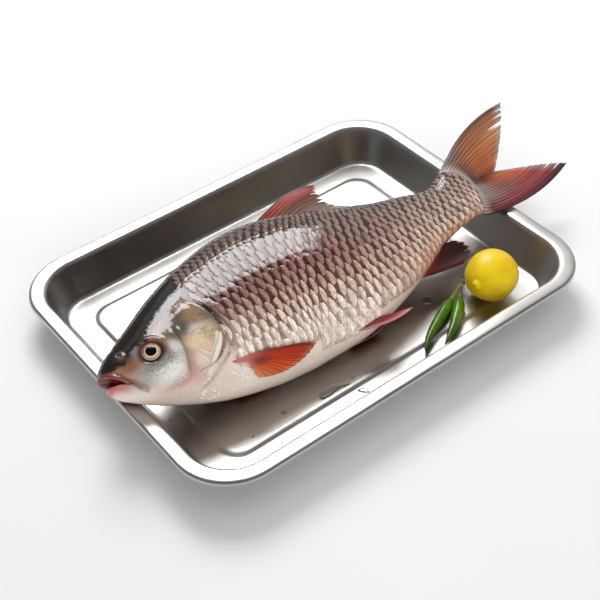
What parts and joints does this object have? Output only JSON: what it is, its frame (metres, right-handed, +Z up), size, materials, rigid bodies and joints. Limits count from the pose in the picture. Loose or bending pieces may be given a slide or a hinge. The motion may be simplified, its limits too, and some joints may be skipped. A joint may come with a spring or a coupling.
{
  "type": "whole rohu fish on a tray",
  "caption": "Whole rohu carp lying on its side across a shallow stainless steel tray, with a lemon and green chillies as garnish.",
  "frame": {"origin": "middle of the bounding box, at its bottom, which is the underside of the tray's rim panel on the table", "axes": "+X along the tray's long side, from the fish's head to its tail; +Y towards the fish's back; +Z up"},
  "size_m": [0.543, 0.348, 0.0935],
  "materials": {
    "steel": "satin",
    "fish_skin": "wet scales, glossy",
    "lemon_peel": "satin, dimpled",
    "chilli_skin": "glossy"
  },
  "bodies": {
    "root": {"tray": "steel", "rohu_fish": "fish_skin", "lemon": "lemon_peel", "chilli_1": "chilli_skin", "chilli_2": "chilli_skin"}
  },
  "joints": []
}
